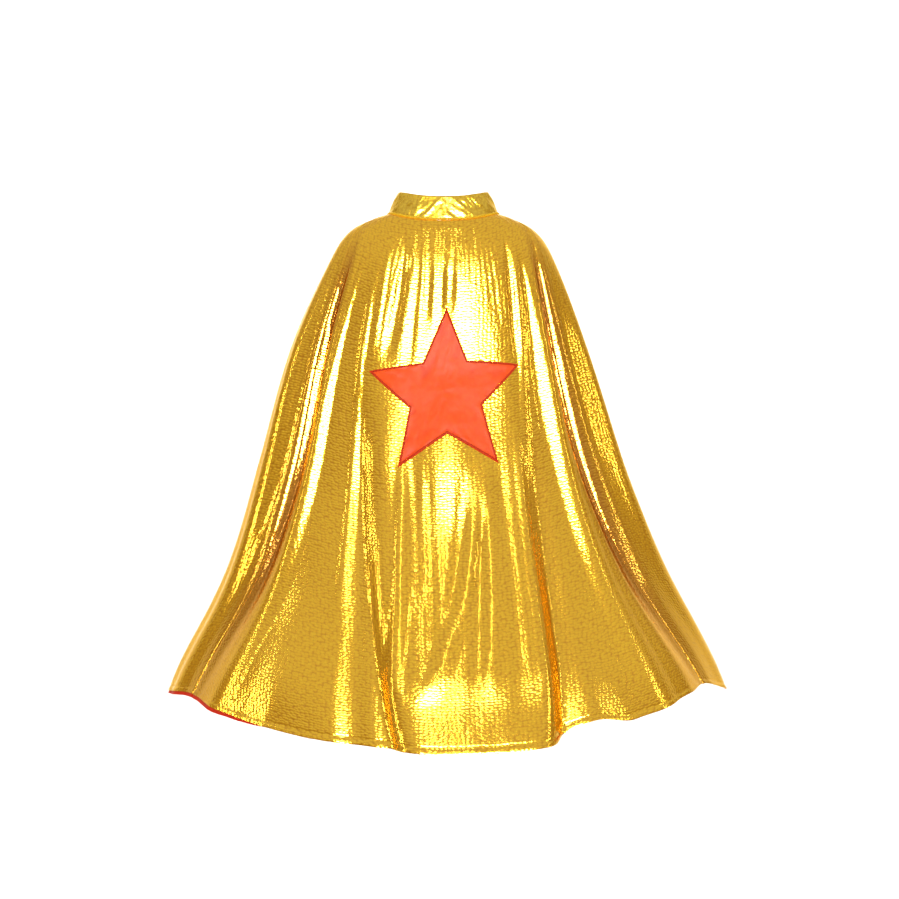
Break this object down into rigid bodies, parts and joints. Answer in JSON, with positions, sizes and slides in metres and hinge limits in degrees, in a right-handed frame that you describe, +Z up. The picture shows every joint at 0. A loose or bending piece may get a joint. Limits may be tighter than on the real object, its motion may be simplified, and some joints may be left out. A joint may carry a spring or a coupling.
{
  "type": "superhero cape",
  "caption": "Lined child's costume cape in three flared panels with a stand collar, a star applique on the back and a hook-and-loop neck tab.",
  "frame": {"origin": "centre of the neck opening, level with the side points of the collar's seam", "axes": "+Z up, +Y the way the wearer faces, +X to the wearer's right; the star on the back faces -Y"},
  "size_m": [0.7051, 0.5089, 0.6659],
  "materials": {
    "gold_lame": "glossy metallic knit with a fine embossed scale pattern",
    "gold_piping": "smooth glossy metallic cloth",
    "red_satin": "smooth satin",
    "star_satin": "bright satin",
    "stitch_thread": "close zigzag thread",
    "interfacing": "matt non-woven",
    "fastener_tape": "matt hook-and-loop tape",
    "label_tape": "plain woven ribbon, blank"
  },
  "bodies": {
    "root": {"back_panel": "gold_lame", "back_lining": "red_satin", "collar_back": "gold_lame", "collar_back_lining": "red_satin", "collar_back_interfacing": "interfacing", "neck_piping_back": "gold_piping", "star_applique": "star_satin", "star_satin_stitch": "stitch_thread", "star_stabiliser": "interfacing", "care_label": "label_tape"},
    "front_left": {"front_left_panel": "gold_lame", "front_left_lining": "red_satin", "collar_left": "gold_lame", "collar_left_lining": "red_satin", "collar_left_interfacing": "interfacing", "neck_piping_left": "gold_piping"},
    "front_right": {"front_right_panel": "gold_lame", "front_right_lining": "red_satin", "collar_right": "gold_lame", "collar_right_lining": "red_satin", "collar_right_interfacing": "interfacing", "neck_piping_right": "gold_piping", "loop_tape": "fastener_tape"},
    "neck_tab": {"closure_tab": "gold_lame", "closure_tab_facing": "red_satin", "hook_tape": "fastener_tape"}
  },
  "joints": [
    {"name": "front_left_open", "type": "hinge", "parent": "root", "child": "front_left", "pos_m": [-0.10307, -0.04018, 0], "axis": [0.3108, 0.1927, 0.9307], "range_deg": [0, 40]},
    {"name": "front_right_open", "type": "hinge", "parent": "root", "child": "front_right", "pos_m": [0.09387, -0.04281, 0], "axis": [0.3678, -0.1857, -0.9112], "range_deg": [0, 40]},
    {"name": "tab_peel", "type": "hinge", "parent": "front_left", "child": "neck_tab", "pos_m": [-0.0103, 0.05266, -0.00697], "axis": [0, -0.3141, 0.9494], "range_deg": [0, 135]}
  ],
  "couplings": [
    {"joint": "front_right_open", "follows": "front_left_open", "ratio": 1}
  ]
}
